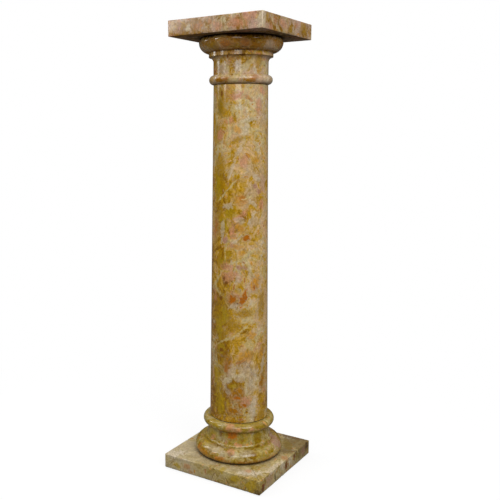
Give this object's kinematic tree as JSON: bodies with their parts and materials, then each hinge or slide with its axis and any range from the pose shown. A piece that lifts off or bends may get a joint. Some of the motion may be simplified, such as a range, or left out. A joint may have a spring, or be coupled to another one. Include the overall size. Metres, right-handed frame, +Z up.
{
  "type": "pedestal column stand",
  "caption": "Free-standing stone column pedestal: square plinth, turned base, tapered round shaft, turned capital and a square display slab that turns on a central pivot.",
  "frame": {"origin": "centre of the felt's underside, on the floor, below the column's axis", "axes": "+Z up along the column's axis, -Y out of the plinth's front face"},
  "size_m": [0.253, 0.253, 1.016],
  "materials": {
    "plinth_marble": "polished breccia marble, olive-grey with ochre, orange-brown and dark pits",
    "base_marble": "polished breccia marble, olive-gold with pink and orange-brown blotches",
    "shaft_marble": "polished breccia marble, ochre and gold with pink-mauve zones and grey-white veins",
    "capital_marble": "polished breccia marble, golden brown with pink-grey patches",
    "slab_marble": "polished breccia marble, beige-pink with golden and pale grey patches",
    "felt": "pressed wool felt",
    "joint_disc": "thin dark sealing disc",
    "turned_brass": "turned, lightly tarnished",
    "zinc_steel": "zinc plated",
    "bright_steel": "turned bright, greased"
  },
  "bodies": {
    "column": {"base_felt": "felt", "plinth": "plinth_marble", "plinth_gasket": "joint_disc", "base_moulding": "base_marble", "base_gasket": "joint_disc", "shaft": "shaft_marble", "shaft_gasket": "joint_disc", "capital": "capital_marble", "glide_ring": "turned_brass", "tie_rod": "zinc_steel", "lower_washer": "zinc_steel", "lower_spring_washer": "zinc_steel", "lower_nut": "zinc_steel", "upper_washer": "zinc_steel", "upper_spring_washer": "zinc_steel", "upper_nut": "zinc_steel", "pivot_sleeve": "bright_steel"},
    "top": {"top_slab": "slab_marble", "pivot_bush": "turned_brass"}
  },
  "joints": [
    {"name": "top_turn", "type": "hinge", "parent": "column", "child": "top", "pos_m": [0, 0, 0.9825], "axis": [0, 0, 1], "continuous": true}
  ]
}
